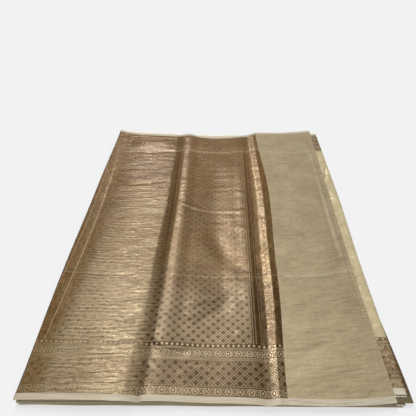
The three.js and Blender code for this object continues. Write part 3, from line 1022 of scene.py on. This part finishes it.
ZARI_WEFT = Threads(14.0, 2.2, 1.0, 4.0)
ZARI_WARP = Threads(2.0, 30.0, 5.0, 3.0)
ZARI_CLOUDS = Threads(80.0, 50.0, 9.0)
ZARI_STRIPES = Threads(60.0, 3.0, 17.0, 3.0)
RIB_SWAY = Threads(80.0, 40.0, 21.0)
RIB_PATCHES = Threads(90.0, 30.0, 27.0, 1.0)
GLOSS_PATCHES = Threads(22.0, 3.4, 37.0, 3.0)
GLARE_WASHOUT_PATCHES = Threads(45.0, 16.0, 41.0)
MARK_SWAY = Threads(110.0, 90.0, 31.0, 1.0)
MARK_BREAKS = Threads(14.0, 40.0, 33.0)
MARK_WIDTH = (0.9, 0.8)
LONG_MARK = 349.0
LONG_MARK_STRAY = 9.0
BENT_MARK = 619.0
BENT_MARK_RISE = 42.0
BENT_MARK_LEVEL = 470.0
BENT_MARK_REACH = 180.0
BENT_MARK_ENDS = (284.0, 492.0, 4.0)
SHORT_MARK = 681.0
SHORT_MARK_START = 228.0
SHORT_MARK_SLOPE = 0.92
SHORT_MARK_WIDTH = (0.9, 0.7)
SHORT_MARK_ENDS = (226.0, 264.0, 3.0)
RIB_SPACING = 11.5
RIB_STRAY = 20.0
RIB_ARCH = 10.0
RIB_ARCH_START = 110.0
RIB_ARCH_REACH = 130.0
ZARI_TINT = (1.0, 0.83, 0.61, 1.0)
ZARI_IOR = 1.29
ZARI_THREAD_DEPTH = 0.0006
ZARI_RIDGE_DEPTH = 0.0022
ZARI_RIDGE_STRENGTH = 0.8


def painted_pressed_highlights(finish, u, v):
    """Thin light marks where the cloth lay folded before: painted highlights where the light
    catches the pressed lines.
    """
    sway = streaks(finish, u, 0.0 * v, MARK_SWAY)
    # The long mark's painted highlight shows only in patches.
    painted_light_mask = streaks(finish, u, v, MARK_BREAKS).above(0.42, 0.12)
    long_mark = abs(v - LONG_MARK - LONG_MARK_STRAY * (sway - 0.5)).below(*MARK_WIDTH)
    off = (BENT_MARK_LEVEL - u) / BENT_MARK_REACH
    bent_mark = abs(v - BENT_MARK - BENT_MARK_RISE * off * off).below(*MARK_WIDTH)
    bent_mark = bent_mark * u.within(*BENT_MARK_ENDS)
    short_mark = abs(v - SHORT_MARK + SHORT_MARK_SLOPE * (u - SHORT_MARK_START))
    short_mark = short_mark.below(*SHORT_MARK_WIDTH) * u.within(*SHORT_MARK_ENDS)
    return (0.5 * long_mark * painted_light_mask).most(0.9 * bent_mark).most(0.6 * short_mark)


def zari_lines(u, v):
    """The light lines and dotted rows at both sides of the lattice field."""
    side_lines = woven_lines(u, SIDE_LINES, 0.4)
    end_lines = woven_lines(u, END_LINES, 0.4)
    end_dots = row_of_dots(v, u - END_DOTS, DOT_SPACING, END_DOT_SIZE)
    faint_dots = row_of_dots(v, u - FAINT_DOTS, DOT_SPACING, FAINT_DOT_SIZE)
    return side_lines * 0.6 + end_lines * 0.5 + end_dots * 0.7 + faint_dots * 0.3


def zari_material():
    finish = Finish("zari")
    u, v = cloth_places(finish)
    m = from_selvedge(v)
    inner = m.above(BORDER, BORDER_SOFT)
    painted_glare_part = u.within(*PAINTED_GLARE_PART) * m.above(*PAINTED_GLARE_FROM_SELVEDGE)
    plain = u.below(*SIDE_PART).most(u.above(*END_PART)) * inner
    deep = v.below(*NEAR_PART) * u.above(*DEEP_PART)
    end_ridge_painted_highlight = u.within(*END_RIDGE_PAINTED_HIGHLIGHT)
    painted_light_mask = u.below(*GLARE_WASHOUT_PART)

    # Threads, and the soft ribs across the left part, painted into its colour as glare streaks and
    # raised in its bumps.
    weft = streaks(finish, u, v, ZARI_WEFT)
    warp = streaks(finish, u, v, ZARI_WARP)
    cloud = streaks(finish, u, v, ZARI_CLOUDS)
    arch = (u - RIB_ARCH_START).most(0.0) / RIB_ARCH_REACH
    sway = RIB_STRAY * (streaks(finish, u, v, RIB_SWAY) - 0.5)
    swayed = v + sway - RIB_ARCH * arch * arch
    ribs = (swayed / RIB_SPACING).off_whole() * 2
    rib_strength = streaks(finish, u, v, RIB_PATCHES).above(0.45, 0.2)
    stripes = streaks(finish, u, swayed, ZARI_STRIPES)

    # How light the ground threads are, from the dark ones to the full metal. On the left part
    # their streaks and ribs are painted stronger, as painted glare streaks.
    shade = 0.55 + 1.6 * (weft - 0.5) + 0.5 * (cloud - 0.5)
    shade = shade + (0.8 + 1.6 * plain) * (warp - 0.5)
    # Darker in the near part past the first fold line, and painted shade in that fold line's
    # valley.
    shade = shade - 0.54 * deep - 0.18 * u.within(*PAINTED_SHADE_VALLEY)
    shade = shade + 0.14 * v.above(*FAR_PART) * (1 - painted_glare_part)
    # A painted highlight on the end ridge, and painted shade on a level far stretch of the left
    # part.
    shade = shade + (0.15 + 0.2 * inner) * end_ridge_painted_highlight - 0.12 * v.within(*PAINTED_SHADE_FAR_STRETCH) * painted_glare_part
    shade = shade + (0.3 + 0.7 * painted_glare_part) * 1.1 * (stripes - 0.5)
    shade = shade + painted_glare_part * 0.7 * rib_strength * (ribs - 0.45)

    # The light figures: the lattice, the border and the lines.
    light, eye = lattice(u, v, FIELD_EYE)
    border_light, border_dark = border_motifs(u, m)
    field = inner * u.within(*FIELD, FIELD_SOFT)
    border_shows = 1 - 0.75 * v.above(*BORDER_FADE)
    lattice_shows = 0.10 + (0.40 + 0.28 * deep) * v.below(*NEAR_PART)
    far_band = m.within(*UPPER_BAND) * (1 - border_shows) * 0.65
    # Painted glare: the border's light figures are painted fainter on the left part.
    border_light = (border_light * (1 - 0.45 * painted_light_mask)).most(far_band)
    motif = field * light * lattice_shows
    motif = motif.most(border_light * border_shows.most(m.above(*TUFTS_FROM)))
    motif = motif.most(zari_lines(u, v) * inner)

    # The dark figures, which are painted faint in patches of the left part, where glare washes
    # them out.
    wide_eye = lattice(u, v, WIDE_EYE)[1]
    eye = eye.most(wide_eye * v.above(*NEAR_GLARE))
    glare_washout = 0.5 * streaks(finish, u, v, GLARE_WASHOUT_PATCHES).above(0.48, 0.08)
    glare_washout = 0.25 + 0.25 * v.below(*GLARE_WASHOUT_NEAR) + glare_washout
    dark = (field * eye).most(border_dark * border_shows) * (1 - 0.3 * deep - painted_light_mask * glare_washout)
    dark = dark.most(u.within(*DARK_LINE) * inner * 0.3)

    olive = cloud.above(0.54, 0.15) * (1 - 0.9 * v.above(*RUDDY_PART))
    # Painted glare: the metal is painted paler over the middle and near stretches of the left
    # part, and, as a painted highlight, on the end ridge.
    painted_glare_tone = 0.22 * v.below(*MIDDLE_GLARE) + 0.36 * v.below(*NEAR_GLARE)
    metal = finish.blend(olive, ZARI_COPPER, ZARI_OLIVE)
    metal = finish.blend(end_ridge_painted_highlight * 0.2, metal, ZARI_LIGHT)
    metal = finish.blend(painted_glare_part * painted_glare_tone, metal, ZARI_LIGHT)
    color = finish.blend(shade, ZARI_DARK, metal)
    # The light figures, and the pressed lines' painted highlights.
    color = finish.blend(motif.most(painted_pressed_highlights(finish, u, v)), color, ZARI_LIGHT)
    color = finish.blend(dark * EYE_DARKNESS, color, ZARI_DARK)
    cream = m.below(SELVEDGE, CREAM_SOFT)
    color = finish.blend(cream, color, cream_threads(finish, u, v))

    gloss = 0.15 + 0.24 * streaks(finish, u, v, GLOSS_PATCHES).above(0.5, 0.16)
    threads = 0.9 * weft + 0.2 * warp + 0.3 * motif - 0.3 * dark
    ridges = (0.4 + 0.6 * painted_glare_part) * 0.6 * stripes + painted_glare_part * 0.3 * rib_strength * ribs
    ridge_bump = {
        "Height": ridges * (1 - 0.45 * v.above(*RIDGES_FADE)),
        "Strength": ZARI_RIDGE_STRENGTH,
        "Distance": ZARI_RIDGE_DEPTH,
        "Normal": thread_bump(finish, threads, ZARI_THREAD_DEPTH),
    }
    return finish.surface(
        Base_Color=color,
        Roughness=(gloss + 0.05 * plain - 0.06 * end_ridge_painted_highlight) * (1 - cream) + 0.46 * cream,
        Metallic=0.10 - 0.06 * cream,
        Specular_Tint=ZARI_TINT,
        IOR=ZARI_IOR,
        Normal=finish.node("Bump", ridge_bump),
    )


outer_ends = ("left fold", "outer crease")
outer_section = top_section(*outer_ends, OUTER_CREASES, OUTER_RIPPLE, lead_in=left_roll)
outer_panel = woven_sheets("pallu_outer_panel_cloth", [outer_section], TOP_ROWS)
zari = zari_material()
finish_cloth(outer_panel, zari, "pallu_outer_panel")

# The pallu's inner panel: the same woven cloth between the two sharp fold lines. It swells up
# towards the second line and sags beside the first, and its near part is lumpy.
INNER_RIPPLE = 0.7
INNER_CREASES = (
    Crease(-1.3, 24, ((512, 322), (465, 372), (425, 430), (402, 500))),
    Crease(0.7, 5, ((290, 632), (320, 624), (370, 604), (430, 594), (500, 592))),
    Crease(-0.6, 6, ((300, 618), (350, 602), (420, 588), (500, 586))),
    Crease(0.6, 5, ((276, 340), (400, 334), (525, 337))),
    Crease(-0.7, 7, ((276, 327), (400, 322), (525, 325))),
    Crease(-2.6, 5, ((264, 127), (300, 113), (348, 106))),
    Crease(1.1, 7, ((272, 138), (310, 130), (350, 118))),
    Crease(-1.2, 6, ((276, 216), (305, 210), (345, 212))),
    Crease(1.0, 7, ((280, 204), (310, 198), (350, 200))),
    Crease(-1.1, 8, ((266, 84), (310, 76), (375, 80))),
    Crease(0.9, 10, ((268, 60), (320, 56), (370, 60))),
    Crease(1.3, 9, ((345, 238), (390, 250), (440, 272))),
    Crease(-1.4, 14, ((370, 185), (410, 215), (450, 245))),
    Crease(0.9, 9, ((462, 160), (485, 157), (505, 162))),
    Crease(0.6, 9, ((405, 500), (460, 520), (505, 510))),
    Crease(-0.5, 8, ((415, 540), (460, 552), (505, 548))),
    Crease(0.6, 9, ((410, 690), (460, 700), (500, 690))),
)

inner_section = top_section("outer crease", "inner crease", INNER_CREASES, INNER_RIPPLE)
inner_panel = woven_sheets("pallu_inner_panel_cloth", [inner_section], TOP_ROWS)
finish_cloth(inner_panel, zari, "pallu_inner_panel")

# The pallu's end band: a narrow plain-woven zari edge past the second fold line, raised in one
# long soft ridge. The zari thread stops at its right side, where the plain tissue carries on.
END_RIPPLE = 0.6
END_CREASES = (
    Crease(0.5, 5, ((527, 337), (560, 341), (580, 345))),
    Crease(1.1, 7, ((535, 400), (575, 440))),
    Crease(-1.1, 7, ((535, 425), (575, 465))),
    Crease(0.8, 8, ((535, 690), (575, 715))),
    Crease(-0.8, 8, ((535, 200), (575, 225))),
    Crease(-0.7, 6, ((538, 300), (572, 312))),
    Crease(-0.8, 9, ((536, 590), (580, 560))),
    Crease(0.7, 9, ((538, 840), (576, 860))),
)

end_section = top_section("inner crease", "pallu end", END_CREASES, END_RIPPLE)
end_band = woven_sheets("pallu_end_band_cloth", [end_section], TOP_ROWS)
finish_cloth(end_band, zari, "pallu_end_band")

# The plain end panel: pale gold tissue with cream selvedges, which carries on from the end band
# at the same height and ends at the right, just short of the folds below it.
PLAIN_RIPPLE = 0.5
PLAIN_ROUGHNESS = 0.48
PLAIN_TINT = (1.0, 0.93, 0.80, 1.0)
PLAIN_CRUMPLE_DEPTH = 0.005
PLAIN_CRUMPLES = Threads(55.0, 16.0, 13.0, 3.0)
FINE_CRUMPLES = Threads(60.0, 7.0, 15.0)
PLAIN_CREASES = (
    Crease(0.7, 4, ((585, 345), (630, 333), (700, 340), (750, 352), (790, 364)), 0.3),
    Crease(-0.7, 6, ((585, 332), (630, 320), (700, 327), (750, 339), (790, 350))),
    Crease(1.0, 14, ((600, 60), (690, 90), (770, 80))),
    Crease(-1.0, 14, ((600, 110), (690, 135), (770, 130))),
    Crease(0.9, 12, ((610, 170), (700, 190), (780, 180))),
    Crease(-0.8, 10, ((610, 230), (680, 250), (760, 235))),
    Crease(0.5, 12, ((640, 620), (700, 650), (770, 640))),
    Crease(0.4, 5, ((600, 955), (700, 950), (780, 962)), 0.25),
    Crease(0.7, 7, ((771, 380), (768, 600), (772, 960)), 0.12),
    Crease(-0.6, 5, ((757, 390), (756, 560), (760, 720))),
    Crease(-0.7, 3, ((774, 220), (776, 600), (778, 1110))),
    Crease(-0.5, 4, ((640, 860), (655, 890))),
)


def tissue_material():
    finish = Finish("tissue")
    u, v = cloth_places(finish)
    color, cream, relief = tissue_color(finish, u, v)
    # Painted sheen: the pressed lines are painted pale cream where the light catches them.
    pressed = finish.node("Attribute", output=2, attribute_name="pressed")
    color = finish.blend(pressed, color, CREAM_COLOR)
    wrinkle = streaks(finish, u, v, PLAIN_CRUMPLES) + 0.35 * streaks(finish, u, v, FINE_CRUMPLES)
    bump = thread_bump(finish, relief, TISSUE_THREAD_DEPTH)
    return finish.surface(
        Base_Color=color,
        Roughness=PLAIN_ROUGHNESS,
        Metallic=0.2 - 0.15 * cream,
        Specular_Tint=PLAIN_TINT,
        Normal=crumpled(finish, wrinkle, PLAIN_CRUMPLE_DEPTH, bump),
    )


plain_section = top_section("pallu end", "right end", PLAIN_CREASES, PLAIN_RIPPLE)
plain_panel = woven_sheets("plain_end_panel_cloth", [plain_section], TOP_ROWS)
finish_cloth(plain_panel, tissue_material(), "plain_end_panel")
